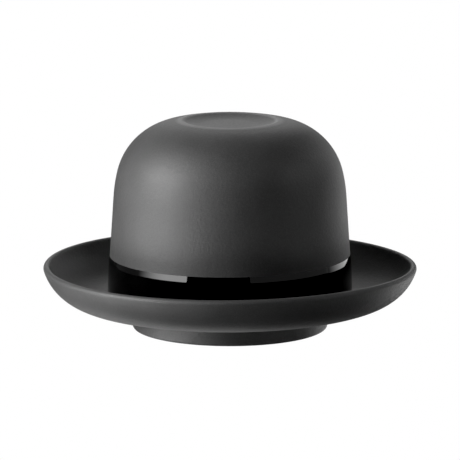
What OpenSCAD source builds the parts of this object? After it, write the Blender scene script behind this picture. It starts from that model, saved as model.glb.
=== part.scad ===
// A handleless cup standing mouth down on its saucer. Together they have the shape of a bowler hat: the
// saucer is the brim, the cup is the crown, and the gloss glaze round the cup's mouth is the ribbon.
// Everything is turned round the Z axis. The origin is on that axis, at the surface the saucer stands on.
// Lengths are in millimetres and angles in degrees.

/* [Saucer] */
// Diameter over the lip
saucer_d = 150; // [140:0.5:160]
// Height of the lip above the table
saucer_h = 25.6; // [24:0.1:30]
// Thickness of the upturned wall, which ends in a fully round lip
saucer_wall = 2.7; // [2.4:0.1:3.2]
// Radius of the bend from the plate up into the wall, on the outside
saucer_bend_r = 20.2; // [18:0.1:22]
// Lean of the wall from upright at the lip
saucer_lean = 17.5; // [12:0.5:22]
// Radius of the softer bend that leads from the plate into the wall's bend, underneath
saucer_ease_r = 32; // [28:1:60]
// Slope of the plate's underside just outside the foot
plate_slope = 6.6; // [5:0.1:9]
// Slope at which the softer bend gives way to the wall's bend
plate_ease_slope = 16.5; // [12:0.5:22]

/* [Saucer foot and well] */
// Diameter over the foot ring
foot_d = 78.4; // [70:0.2:84]
// Width of the foot ring
foot_w = 4; // [3:0.1:6]
// Rounding of the foot ring's two bottom edges
foot_edge_r = 1; // [0.4:0.1:1.2]
// Rounding where the foot ring meets the plate, inside and outside
foot_fillet_r = 1.6; // [0.8:0.1:2.4]
// Height of the hollow inside the foot ring
foot_hollow_h = 6.5; // [4.5:0.1:6.8]
// Depth of the well in the middle of the plate, which takes the cup's own foot
well_depth = 2; // [1:0.1:2.4]
// Diameter at which the plate starts to fall towards the well
well_d = 89; // [80:0.5:91]
// Radius of both bends between the plate and the well
well_ease_r = 60; // [30:1:90]

/* [Cup] */
// Diameter of the cup's wall at the glaze line
cup_d = 96.6; // [92:0.1:100]
// Height of the whole object, from the table to the ridge of the upturned cup's foot
total_h = 84.3; // [78:0.1:90]
// Wall thickness
cup_wall = 3; // [2.5:0.1:3.5]
// Lean of the straight part of the wall from upright
wall_taper = 3.8; // [2:0.1:6]
// Radius of the long bend that brings the wall almost upright at the mouth
mouth_ease_r = 290; // [250:5:600]
// Radius of the softer bend that leads from the wall into the shoulder
shoulder_ease_r = 59; // [40:1:70]
// Angle that the softer bend turns through
shoulder_ease_turn = 10; // [4:0.5:14]
// Radius of the shoulder
shoulder_r = 26.5; // [22:0.1:28]
// Radius of the shoulder inside the cup
shoulder_inner_r = 24; // [18:0.5:25]
// Slope of the crown outside the ridge
crown_slope = 10; // [6:0.5:14]

/* [Cup foot] */
// Diameter of the ridge that the cup stands on when it is the right way up
ridge_d = 38.8; // [30:0.2:44]
// Rounding of the ridge
ridge_r = 2.5; // [1.5:0.1:4]
// Depth of the hollow inside the ridge
hollow_depth = 1.6; // [1:0.1:2.2]
// Radius of the bend from the ridge down to the hollow's floor
hollow_bend_r = 25; // [15:1:30]
// Thickness of the cup's bottom under the hollow
cup_bottom = 3.4; // [3:0.1:5]

/* [Glaze] */
// Height of the glaze line above the table
glaze_line_h = 29.7; // [26:0.1:36]
// Thickness of the glaze
glaze = 0.3; // [0.2:0.05:0.4]
// Slope, against the wall, at which the glaze on the outside thins out to nothing at the glaze line
glaze_edge_slope = 7; // [5:0.5:12]
// Radius of the bend into that slope
glaze_edge_r = 5; // [2:0.5:8]

/* [Fit] */
// Gap between the cup's lip and the plate
cup_gap = 0.05; // [0.05:0.05:0.2]

/* [Hidden] */
$fn = 180;
// Largest angle between neighbouring points of a bend, and the fewest stretches that a bend is drawn with
bend_step = 4;
bend_min = 5;
stoneware = [0.16, 0.16, 0.16];
gloss_black = [0.01, 0.01, 0.01];

// Profiles are drawn on the right of the axis, [radius, height], with the material on the left of the way
// they run. A heading of 0 runs up, 90 runs in towards the axis, -90 runs out, and 180 and -180 run down.
// The surface's outward normal at a heading:
function normal(heading) = [cos(heading), sin(heading)];
// The way a profile runs at a heading:
function run(heading) = [-sin(heading), cos(heading)];
// A bend's points from one heading to another. A positive radius bulges out of the material round its
// centre, and a negative radius hollows into it. Straight stretches lie between one bend and the next.
function bend(centre, r, from, to) =
    let (n = max(bend_min, ceil(abs(to - from) / bend_step)))
    [for (i = [0:n]) centre + r * normal(from + (to - from) * i / n)];

// Saucer: the lip, the wall's bend and the softer bend touch one another, so their centres are in line.
lip_r = saucer_wall / 2;
lip_heading = -saucer_lean;
ease_heading = plate_ease_slope - 90;
plate_heading = plate_slope - 90;
lip_centre = [saucer_d / 2 - lip_r, saucer_h - lip_r];
wall_centre = lip_centre - (saucer_bend_r - lip_r) * normal(lip_heading);
ease_centre = wall_centre - (saucer_ease_r - saucer_bend_r) * normal(ease_heading);
plate_edge = ease_centre + saucer_ease_r * normal(plate_heading);
saucer_inner_bend_r = saucer_bend_r - saucer_wall;
plate_h = wall_centre[1] - saucer_inner_bend_r;
foot_r = foot_d / 2;
foot_inner_r = foot_r - foot_w;
foot_fillet_centre_r = foot_r + foot_fillet_r;
foot_fillet_h = plate_edge[1] + (foot_fillet_centre_r - plate_edge[0]) * tan(plate_slope)
    - foot_fillet_r / cos(plate_slope);
well_turn = acos(1 - well_depth / (2 * well_ease_r));
well_floor_r = well_d / 2 - 2 * well_ease_r * sin(well_turn);

// Cup, outside: the crown and the wall are straight, and as long as the two shoulder bends leave them.
ridge_heading = 90 - crown_slope;
ease_end_heading = wall_taper + shoulder_ease_turn;
ridge_centre = [ridge_d / 2, total_h - ridge_r];
glaze_line = [cup_d / 2, glaze_line_h];
shoulder_span = shoulder_ease_r * (normal(ease_end_heading) - normal(wall_taper))
    + shoulder_r * (normal(ridge_heading) - normal(ease_end_heading));
straight_span = ridge_centre + ridge_r * normal(ridge_heading) - glaze_line - shoulder_span;
wall_len = cross(straight_span, run(ridge_heading)) / cross(run(wall_taper), run(ridge_heading));
wall_top = glaze_line + wall_len * run(wall_taper);
shoulder_ease_centre = wall_top - shoulder_ease_r * normal(wall_taper);
shoulder_centre = shoulder_ease_centre + (shoulder_ease_r - shoulder_r) * normal(ease_end_heading);
// The ridge's rounding and the hollow's bend share the hollow's depth.
hollow_turn = acos(1 - hollow_depth / (ridge_r + hollow_bend_r));
hollow_floor_h = total_h - hollow_depth;
hollow_centre = ridge_centre + (ridge_r + hollow_bend_r) * normal(90 + hollow_turn);

// Cup, mouth: the wall's inner and outer faces bend round one centre and end in a fully round lip.
mouth_h = plate_h + cup_gap;
mouth_r = cup_wall / 2;
mouth_ease_centre = glaze_line - mouth_ease_r * normal(wall_taper);
mouth_heading = asin((mouth_h + glaze + mouth_r - mouth_ease_centre[1]) / (mouth_ease_r - mouth_r));
mouth_centre = mouth_ease_centre + (mouth_ease_r - mouth_r) * normal(mouth_heading);

// Glaze: the bend touches the coat's outside, and from it the thinning edge runs straight to the glaze line.
glaze_edge_heading = wall_taper + glaze_edge_slope;
coat_top_heading = glaze_edge_heading - acos(
    (mouth_ease_r * cos(glaze_edge_slope) - glaze_edge_r) / (mouth_ease_r + glaze - glaze_edge_r));
glaze_edge_centre = mouth_ease_centre + (mouth_ease_r + glaze - glaze_edge_r) * normal(coat_top_heading);

// Cup, inside: the shoulder touches the wall's inner face and the flat bottom.
inner_line = glaze_line - cup_wall * normal(wall_taper);
inner_bottom_h = hollow_floor_h - cup_bottom;
inner_centre_h = inner_bottom_h - shoulder_inner_r;
inner_centre_r = inner_line[0] - shoulder_inner_r / cos(wall_taper)
    - (inner_centre_h - inner_line[1]) * tan(wall_taper);
inner_centre = [inner_centre_r, inner_centre_h];

// The inside of the cup from its bottom down to the lip, with a coat of the given thickness on it.
function cup_inside(coat) = concat(
    [[0, inner_bottom_h - coat]],
    bend(inner_centre, -(shoulder_inner_r - coat), -90, wall_taper - 180),
    bend(mouth_ease_centre, -(mouth_ease_r - cup_wall - coat), wall_taper - 180, mouth_heading - 180)
);

// The lip and the outside of the cup up to a heading of the wall, with a coat of the given thickness on it.
function cup_mouth(coat, top_heading) = concat(
    bend(mouth_centre, mouth_r + coat, mouth_heading - 180, mouth_heading),
    bend(mouth_ease_centre, mouth_ease_r + coat, mouth_heading, top_heading)
);

function reversed(points) = [for (i = [len(points) - 1:-1:0]) points[i]];

// Turns a profile round the axis.
module turned(points) {
    rotate_extrude() polygon(points);
}

// Plate, upturned wall, lip and foot ring, in one piece of stoneware.
module saucer_body() {
    underside = concat(
        [[0, foot_hollow_h]],
        bend([foot_inner_r - foot_fillet_r, foot_hollow_h - foot_fillet_r], -foot_fillet_r, -90, -180),
        bend([foot_inner_r + foot_edge_r, foot_edge_r], foot_edge_r, -180, -90),
        bend([foot_r - foot_edge_r, foot_edge_r], foot_edge_r, -90, 0),
        bend([foot_fillet_centre_r, foot_fillet_h], -foot_fillet_r, 0, plate_heading),
        bend(ease_centre, saucer_ease_r, plate_heading, ease_heading),
        bend(wall_centre, saucer_bend_r, ease_heading, lip_heading)
    );
    lip = bend(lip_centre, lip_r, lip_heading, lip_heading + 180);
    inside = concat(
        bend(wall_centre, -saucer_inner_bend_r, lip_heading + 180, 90),
        bend([well_d / 2, plate_h - well_ease_r], well_ease_r, 90, 90 + well_turn),
        bend([well_floor_r, plate_h - well_depth + well_ease_r], -well_ease_r, 90 + well_turn, 90),
        [[0, plate_h - well_depth]]
    );
    color(stoneware) turned(concat(underside, lip, inside));
}

// Wall, shoulder, bottom and foot ridge of the cup, in one piece of stoneware.
module cup_body() {
    crown = concat(
        bend(shoulder_ease_centre, shoulder_ease_r, wall_taper, ease_end_heading),
        bend(shoulder_centre, shoulder_r, ease_end_heading, ridge_heading),
        bend(ridge_centre, ridge_r, ridge_heading, 90 + hollow_turn),
        bend(hollow_centre, -hollow_bend_r, 90 + hollow_turn, 90),
        [[0, hollow_floor_h]]
    );
    color(stoneware) turned(concat(cup_inside(0), cup_mouth(0, wall_taper), crown));
}

// Gloss glaze over the lip and up the outside, thinning out to nothing at the glaze line.
module cup_band_glaze() {
    outside = cup_mouth(glaze, coat_top_heading);
    edge = bend(glaze_edge_centre, glaze_edge_r, coat_top_heading, glaze_edge_heading);
    color(gloss_black) turned(concat(outside, edge, reversed(cup_mouth(0, wall_taper))));
}

// Gloss glaze over the whole inside of the cup. It meets the band's glaze at the lip.
module cup_liner_glaze() {
    color(gloss_black) turned(concat(cup_inside(glaze), reversed(cup_inside(0))));
}

saucer_body();
cup_body();
cup_band_glaze();
cup_liner_glaze();
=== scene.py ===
"""A matte black stoneware cup upside down on its saucer, shaped together like a bowler hat.

The shape comes from the CAD frame: each turned CAD node is turned again, more finely, from its own
outline. This script adds the clay and the glazes, a pale studio floor, soft lights and the camera.
Units are metres.
"""

import math

import bpy
import numpy as np
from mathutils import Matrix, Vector


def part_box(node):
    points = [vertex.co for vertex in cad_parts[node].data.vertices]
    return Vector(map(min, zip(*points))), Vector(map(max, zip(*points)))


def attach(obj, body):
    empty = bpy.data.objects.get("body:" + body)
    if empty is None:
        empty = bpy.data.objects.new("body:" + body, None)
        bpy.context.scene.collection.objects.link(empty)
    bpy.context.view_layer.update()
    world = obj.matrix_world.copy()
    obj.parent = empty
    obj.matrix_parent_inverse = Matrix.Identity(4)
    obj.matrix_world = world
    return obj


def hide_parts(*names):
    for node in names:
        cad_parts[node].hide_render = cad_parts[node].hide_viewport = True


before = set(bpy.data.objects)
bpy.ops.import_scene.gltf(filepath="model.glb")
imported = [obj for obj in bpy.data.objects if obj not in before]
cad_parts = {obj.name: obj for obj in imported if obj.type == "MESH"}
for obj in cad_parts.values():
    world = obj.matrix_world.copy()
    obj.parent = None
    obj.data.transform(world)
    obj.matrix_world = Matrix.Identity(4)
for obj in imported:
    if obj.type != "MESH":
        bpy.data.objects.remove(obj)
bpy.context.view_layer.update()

MM = 0.001


def added(name, data):
    """A new object in the scene."""
    thing = bpy.data.objects.new(name, data)
    bpy.context.scene.collection.objects.link(thing)
    return thing


# ---------------------------------------------------------------- turned pieces

SEGMENTS = 256  # quads round the axis
SAME_POINT = 0.002 * MM  # points of an outline nearer than this are one point
SAME_LENGTH = 0.01  # the stretches of one bend are as long as each other, within this share
LONGEST_IN_BEND = 1.0 * MM  # a longer stretch of a bend is split
LONGEST_STRAIGHT = 2.5 * MM  # a longer straight stretch is split
CORNER = math.radians(30)  # a mesh that turns more than this across an edge is sharp there


def outline(node):
    """The section of a turned CAD node: [radius, height] points, with the material on their left.

    The CAD faces are cones and flat rings that meet in circles, and each circle has a vertex at
    azimuth 0. So the vertices there are the section's points, and a mesh edge between two circles
    joins two of them.
    """
    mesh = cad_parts[node].data
    places = np.empty(3 * len(mesh.vertices))
    mesh.vertices.foreach_get("co", places)
    x, y, height = places.reshape(-1, 3).T
    section = np.column_stack([np.hypot(x, y), height])
    keys = [tuple(key) for key in np.round(section / SAME_POINT).astype(int)]
    at_zero = (np.abs(y) < SAME_POINT) & (x >= 0)
    points = {key: section[i] for i, key in enumerate(keys) if at_zero[i]}
    joined = {key: set() for key in points}
    for edge in mesh.edges:
        a, b = (keys[i] for i in edge.vertices)
        if a != b and a in joined and b in joined:
            joined[a].add(b)
            joined[b].add(a)
    ends = [key for key in joined if len(joined[key]) == 1]
    way = [min(ends or joined)]
    while following := joined[way[-1]] - set(way[-2:]):
        way.append(min(following))
        if way[-1] == way[0]:
            break
    path = np.array([points[key] for key in way])
    if ends:  # the section runs from the axis to the axis
        path = np.vstack([[0, path[0][1]], path, [0, path[-1][1]]])
    area = np.sum(path[:-1, 0] * path[1:, 1] - path[1:, 0] * path[:-1, 1])
    return path if area > 0 else path[::-1]


def refined(path):
    """The outline with its long stretches split. The new points in a bend go onto its arc."""
    step = np.diff(path, axis=0)
    length = np.hypot(*step.T)
    turn = np.concatenate([[0], np.diff(np.unwrap(np.arctan2(step[:, 1], step[:, 0]))), [0]])
    alike = np.abs(np.diff(length)) < SAME_LENGTH * length[1:]
    in_bend = np.append(alike, False) | np.append(False, alike)
    made = [path[0]]
    for i, end in enumerate(path[1:]):
        angle = max(turn[i], turn[i + 1], key=abs) if in_bend[i] else 0
        outwards = np.array([step[i][1], -step[i][0]])
        count = math.ceil(length[i] / (LONGEST_IN_BEND if in_bend[i] else LONGEST_STRAIGHT))
        for share in (part / count for part in range(1, count)):
            # At a share x of its chord, an arc that turns by an angle stands off from the chord by
            # angle / 2 * x(1 - x) of the chord's length.
            made.append(path[i] + step[i] * share + outwards * angle / 2 * share * (1 - share))
        made.append(end)
    return made


def true_shape(radius, height, azimuth):
    return radius, height


def revolved(name, path, segments, shape=true_shape):
    """A smooth mesh of a path of (radius, height) points taken round the axis.

    Its outer side is on the right of the path's way. shape(radius, height, azimuth) gives the
    radius and height where a point really is.
    """
    closed = np.allclose(path[0], path[-1])
    azimuths = [2 * math.pi * i / segments for i in range(segments)]
    points, rings, faces = [], [], []
    for radius, height in path[:-1] if closed else path:
        if radius < SAME_POINT:  # on the axis, where the ring is one point
            rings.append([len(points)] * segments)
            points.append((0, 0, height))
            continue
        rings.append(range(len(points), len(points) + segments))
        for azimuth in azimuths:
            r, z = shape(radius, height, azimuth)
            points.append((r * math.cos(azimuth), r * math.sin(azimuth), z))
    if closed:
        rings.append(rings[0])
    for this, following in zip(rings, rings[1:]):
        for i in range(segments):
            j = (i + 1) % segments
            corners = (this[i], this[j], following[j], following[i])
            faces.append(tuple(dict.fromkeys(corners)))
    mesh = bpy.data.meshes.new(name)
    mesh.from_pydata(points, [], faces)
    mesh.shade_smooth()
    return mesh


def turned(name, node, body, shape=true_shape):
    """The piece that stands for a turned CAD node."""
    mesh = revolved(name, refined(outline(node)), SEGMENTS, shape)
    mesh.set_sharp_from_angle(angle=CORNER)
    piece = added(name, mesh)
    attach(piece, body)
    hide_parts(node)
    return piece


# What the kiln and the potter's hand did to the turned shapes: the saucer's lip is pulled into a
# faint saddle and leans back to the right, and the cup was dipped askew, so that its glaze line
# slopes up to the right. Azimuth 0 is the picture's right here, and -90 is the camera's side.
saucer_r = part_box("saucer_body")[1].x
glaze_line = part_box("cup_band_glaze")[1].z
RIM_WARP = 0.46 * MM  # how far the saddle takes the lip above and below its true height
RIM_LEAN = 0.3 * MM  # how far the lean takes it above and below that
LEAN_AZIMUTH = math.radians(-117)  # where the leaning lip is highest
WARP_START = 0.66 * saucer_r  # the saucer is true within this radius
GLAZE_TILT = 0.32 * MM  # how far the glaze line stands above and below its true height
TILT_FULL = glaze_line - 3.2 * MM  # the glaze above this height moves in full
TILT_START = glaze_line - 8 * MM  # the glaze below this height doesn't move
WALL_LEAN = math.tan(math.radians(3.8))  # the cup's wall leans in by this much of its rise


def eased(share):
    """A smooth step from 0 to 1."""
    share = min(max(share, 0), 1)
    return share * share * (3 - 2 * share)


def warped_rim(radius, height, azimuth):
    lift = RIM_LEAN * math.cos(azimuth - LEAN_AZIMUTH) - RIM_WARP * math.sin(2 * azimuth)
    return radius, height + lift * eased((radius - WARP_START) / (saucer_r - WARP_START))


def dipped_askew(radius, height, azimuth):
    moved = eased((height - TILT_START) / (TILT_FULL - TILT_START))
    lift = GLAZE_TILT * math.cos(azimuth) * moved
    return radius - WALL_LEAN * lift, height + lift


saucer = turned("saucer", "saucer_body", "saucer", warped_rim)
cup = turned("cup", "cup_body", "cup")
band = turned("cup_ribbon_glaze", "cup_band_glaze", "cup", dipped_askew)
liner = turned("cup_liner_glaze_coat", "cup_liner_glaze", "cup")

# ---------------------------------------------------------------- materials


def grey(value):
    return (value, value, value, 1)


NOISE_SPAN = (0.3, 0.7)  # most of a noise is within this span


class Look:
    """A node material round one Principled shader, with short ways to add nodes and join them."""

    def __init__(self, name, **settings):
        self.material = bpy.data.materials.new(name)
        self.material.use_nodes = True
        self.tree = self.material.node_tree
        self.shader = self.tree.nodes["Principled BSDF"]
        for socket, value in settings.items():
            self.shader.inputs[socket.replace("_", " ")].default_value = value
        self.place = self.add("ShaderNodeTexCoord").outputs["Object"]

    def add(self, kind, inputs=None, **attributes):
        """A new node. Each input is given as a value, or as the socket that it comes from."""
        node = self.tree.nodes.new(kind)
        for attribute, value in attributes.items():
            setattr(node, attribute, value)
        for socket, value in (inputs or {}).items():
            if isinstance(value, bpy.types.NodeSocket):
                self.tree.links.new(value, node.inputs[socket])
            else:
                node.inputs[socket].default_value = value
        return node

    def noise(self, size, detail=2):
        """Noise from 0 to 1 whose features are about size across."""
        inputs = {"Vector": self.place, "Scale": 1 / size, "Detail": detail}
        return self.add("ShaderNodeTexNoise", inputs).outputs["Fac"]

    def ranged(self, value, low, high, span=NOISE_SPAN):
        """value's span, taken to the range from low to high."""
        inputs = {"Value": value, "From Min": span[0], "From Max": span[1]}
        inputs |= {"To Min": low, "To Max": high}
        return self.add("ShaderNodeMapRange", inputs).outputs["Result"]

    def mixed(self, share, first, second):
        """A colour that goes from the first to the second as share goes from 0 to 1."""
        # The mix node's colours are its inputs 6 and 7 and its output 2.
        inputs = {"Factor": share, 6: first, 7: second}
        return self.add("ShaderNodeMix", inputs, data_type="RGBA").outputs[2]

    def bump(self, height, depth, under=None):
        """Relief of a depth, on top of the relief under it."""
        inputs = {"Height": height, "Distance": depth}
        if under is not None:
            inputs["Normal"] = under
        return self.add("ShaderNodeBump", inputs).outputs["Normal"]

    def connect(self, **sockets):
        """Joins outputs to the shader's sockets."""
        for socket, output in sockets.items():
            self.tree.links.new(output, self.shader.inputs[socket.replace("_", " ")])


# The clay's features, with how far apart they are and how deep their relief is.
CLOUD_SIZE = 14 * MM
WAVE_SIZE, WAVE_DEPTH = 5 * MM, 0.03 * MM
MOTTLE_SIZE, MOTTLE_DEPTH = 1.1 * MM, 0.08 * MM
GRAIN_SIZE, GRAIN_DEPTH = 0.35 * MM, 0.012 * MM
CLAY, CLAY_IN_CLOUDS = grey(0.024), grey(0.031)
SPECK, SPECK_SHARE = grey(0.07), 0.4  # the colour of the palest grains, and its share in them
SPECK_SPAN = (0.45, 0.75)  # a grain is more and more of a speck over this span of the noise
CLAY_ROUGHNESS = (0.555, 0.605)
# A painted highlight: a paler clay colour on the ridge of the cup's foot, standing in for the light
# on its crest.
PAINTED_HIGHLIGHT = grey(0.095)
PAINTED_HIGHLIGHT_DEPTH = 0.45 * MM  # the painted highlight covers the ridge of the cup's foot this far down
PAINTED_HIGHLIGHT_FADE = 0.3 * MM

# The glaze's features.
FLOW_SIZE, FLOW_DEPTH = 9 * MM, 0.004 * MM
BLOOM_SIZE = 3 * MM  # how far apart its less smooth places are
GLAZE, GLAZE_IN_FLOW = grey(0.001), grey(0.003)
GLAZE_ROUGHNESS = (0.02, 0.04)


def stoneware(name, painted_highlight_above=None):
    """Matte black clay, stained right through: dry, with a fine grain and faint clouds.

    The clay above the given height is paler: a painted highlight along the ridge of the cup's foot.
    """
    look = Look(name, IOR=1.5)
    clouds = look.noise(CLOUD_SIZE, detail=3)
    grain = look.noise(GRAIN_SIZE, detail=3)
    mottle = look.noise(MOTTLE_SIZE)
    clay = look.mixed(look.ranged(clouds, 0, 1), CLAY, CLAY_IN_CLOUDS)
    if painted_highlight_above is not None:
        # Painted highlight: the clay turns paler over the ridge of the cup's foot.
        height = look.add("ShaderNodeSeparateXYZ", {"Vector": look.place}).outputs["Z"]
        painted_highlight_share = look.ranged(height, 0, 1, span=(painted_highlight_above, painted_highlight_above + PAINTED_HIGHLIGHT_FADE))
        clay = look.mixed(painted_highlight_share, clay, PAINTED_HIGHLIGHT)
    relief = look.bump(look.noise(WAVE_SIZE), WAVE_DEPTH)
    relief = look.bump(mottle, MOTTLE_DEPTH, relief)
    relief = look.bump(grain, GRAIN_DEPTH, relief)
    look.connect(
        Base_Color=look.mixed(look.ranged(grain, 0, SPECK_SHARE, SPECK_SPAN), clay, SPECK),
        Roughness=look.ranged(mottle, *CLAY_ROUGHNESS),
        Normal=relief,
    )
    return look.material


def glaze(name):
    """Black glaze, as smooth as glass, with a faint waviness."""
    look = Look(name, IOR=1.52)
    flow = look.noise(FLOW_SIZE, detail=1)
    look.connect(
        Base_Color=look.mixed(flow, GLAZE, GLAZE_IN_FLOW),
        Roughness=look.ranged(look.noise(BLOOM_SIZE), *GLAZE_ROUGHNESS),
        Normal=look.bump(flow, FLOW_DEPTH),
    )
    return look.material


for piece, material in (
    (saucer, stoneware("saucer_clay")),
    # The cup's clay carries the painted highlight along the ridge of its foot.
    (cup, stoneware("cup_clay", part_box("cup_body")[1].z - PAINTED_HIGHLIGHT_DEPTH)),
    (band, glaze("ribbon_gloss")),
    (liner, glaze("liner_gloss")),
):
    piece.data.materials.append(material)

# ---------------------------------------------------------------- studio

# The floor runs up into a bowl all round, so that it is the background of every view. It only shows
# to the camera, and the object is lit by the lights alone.
FLOOR_R = 4.0
BOWL_R = 6.0
BOWL_H = 4.0
BOWL_SEGMENTS = 64
BEND_STEPS = 8  # stretches in the bend between the floor and the bowl's upright side


def studio_bowl():
    bend_r = BOWL_R - FLOOR_R
    turns = [math.pi / 2 * i / BEND_STEPS for i in range(BEND_STEPS, -1, -1)]
    bend = [(FLOOR_R + bend_r * math.sin(t), bend_r * (1 - math.cos(t))) for t in turns]
    bowl = added("studio", revolved("studio", [(BOWL_R, BOWL_H), *bend, (0, 0)], BOWL_SEGMENTS))
    paper = Look(
        "pale_paper",
        Base_Color=grey(0),
        Specular_IOR_Level=0,
        Roughness=1,
        Emission_Color=grey(1),
        Emission_Strength=1,
    ).material
    paper.cycles.emission_sampling = "NONE"
    bowl.data.materials.append(paper)
    bowl.visible_diffuse = bowl.visible_glossy = bowl.visible_shadow = False


studio_bowl()

TARGET = Vector((0, 0, 0.04))  # what the lights are aimed at
LIGHT_DISTANCE = 1.4
ENERGY_OF_WHITE = 4.0  # watts for each square metre of a light as bright as the floor


def faded(light, left, right, low, high):
    """Lets a light fade out towards its edges, over the given shares of its width and height."""
    light.use_nodes = True
    nodes, links = light.node_tree.nodes, light.node_tree.links
    place = nodes.new("ShaderNodeSeparateXYZ")  # from 0 to 1 across the light, and up it
    links.new(nodes.new("ShaderNodeNewGeometry").outputs["Parametric"], place.inputs["Vector"])
    strength = None
    for socket, edge, share in (("X", 0, left), ("X", 1, -right), ("Y", 0, low), ("Y", 1, -high)):
        if not share:
            continue
        ramp = nodes.new("ShaderNodeMapRange")
        ramp.interpolation_type = "SMOOTHSTEP"
        links.new(place.outputs[socket], ramp.inputs["Value"])
        ramp.inputs["From Min"].default_value = edge
        ramp.inputs["From Max"].default_value = edge + share
        if strength is not None:
            links.new(strength, ramp.inputs["To Max"])
        strength = ramp.outputs["Result"]
    links.new(strength, nodes["Emission"].inputs["Strength"])


def softbox(name, azimuth, elevation, across, upright, brightness, fades=None):
    """A soft light aimed at the object, so many degrees across and upright as the object sees it.

    Azimuth 0 is the camera's side and 90 is the picture's right. A brightness of 1 is the white of
    the floor. fades are the shares of its size over which it fades out at its left, right, low and
    high edges.
    """
    light = bpy.data.lights.new(name, "AREA")
    light.shape = "RECTANGLE"
    light.size = 2 * LIGHT_DISTANCE * math.tan(math.radians(across / 2))
    light.size_y = 2 * LIGHT_DISTANCE * math.tan(math.radians(upright / 2))
    light.energy = ENERGY_OF_WHITE * brightness * light.size * light.size_y
    if fades:
        faded(light, *fades)
    a, e = math.radians(azimuth), math.radians(elevation)
    way = Vector((math.sin(a) * math.cos(e), -math.cos(a) * math.cos(e), math.sin(e)))
    lamp = added(name, light)
    lamp.location = TARGET + LIGHT_DISTANCE * way
    lamp.rotation_euler = way.to_track_quat("Z", "Y").to_euler()
    lamp.visible_camera = False


# From the left, and from low on the left onto the saucer's outer side and foot.
softbox("key", -76, 25, 24, 36, 30.0, fades=(0.4, 0.4, 0.3, 0.4))
softbox("key_wide", -67, 24, 44, 34, 4.8, fades=(0.2, 0.2, 0.3, 0.3))
softbox("key_high", -76, 50, 40, 18, 2.0)
softbox("key_low", -69.5, 6, 57, 11, 4.5, fades=(0.65, 0, 0, 0.2))
softbox("bounce", -76, -20, 34, 13, 2.2, fades=(0.3, 0.3, 0, 0))
softbox("bounce_wide", -72, -21, 58, 13, 10.2, fades=(0.1, 0.1, 0, 0))
softbox("bounce_low", -76, -36, 50, 16, 1.6)
# From the right, and from behind on the right along the edges there.
softbox("rim", 137, 22, 20, 30, 2.0, fades=(0.3, 0.2, 0, 0.2))
softbox("rim_low", 130, -2, 60, 13, 1.5, fades=(0.5, 0, 0, 0))
softbox("side", 82, 30, 34, 28, 2.8, fades=(0.3, 0.3, 0.2, 0.2))
softbox("bounce_right", 62, -20, 50, 13, 1.5)
softbox("bounce_back", 136, -22, 40, 18, 2.3)
# From behind.
softbox("under_back", 200, -45, 30, 20, 2.3)
softbox("back", 183, 34, 34, 34, 1.2)
softbox("back_left", 228, 32, 28, 18, 0.5)
softbox("back_low", 176, 12, 30, 12, 1.2)
# Weak and wide, at about the object's own level.
softbox("fill_right", 62, 8, 86, 16, 0.2)
softbox("fill_left", -122, 2, 52, 12, 0.07)

world = bpy.data.worlds.new("studio")
world.use_nodes = True
world.node_tree.nodes["Background"].inputs["Color"].default_value = grey(0)
bpy.context.scene.world = world

BLACK = 0.004  # light up to this is all black, as the darkest greys of the photo are
view = bpy.context.scene.view_settings
view.view_transform = "Standard"
view.use_curve_mapping = True
view.curve_mapping.black_level = (BLACK, BLACK, BLACK)
view.curve_mapping.update()

# ---------------------------------------------------------------- camera

CAMERA_ELEVATION = math.radians(11.33)
CAMERA_DISTANCE = 2.011
LENS = 391.3  # the focal length and the sensor's width are in millimetres
SENSOR_WIDTH = 36
CLIP_END = 30
SIGHT = Vector((0, 0, 0.02395))  # the level that the camera's distance and elevation are given from
PICTURE_MIDDLE = Vector((0, 0, 0.03946))

camera = added("camera", bpy.data.cameras.new("camera"))
camera.data.lens = LENS
camera.data.sensor_width = SENSOR_WIDTH
camera.data.clip_end = CLIP_END
away = Vector((0, -math.cos(CAMERA_ELEVATION), math.sin(CAMERA_ELEVATION)))
camera.location = SIGHT + CAMERA_DISTANCE * away
camera.rotation_euler = (camera.location - PICTURE_MIDDLE).to_track_quat("Z", "Y").to_euler()
bpy.context.scene.camera = camera
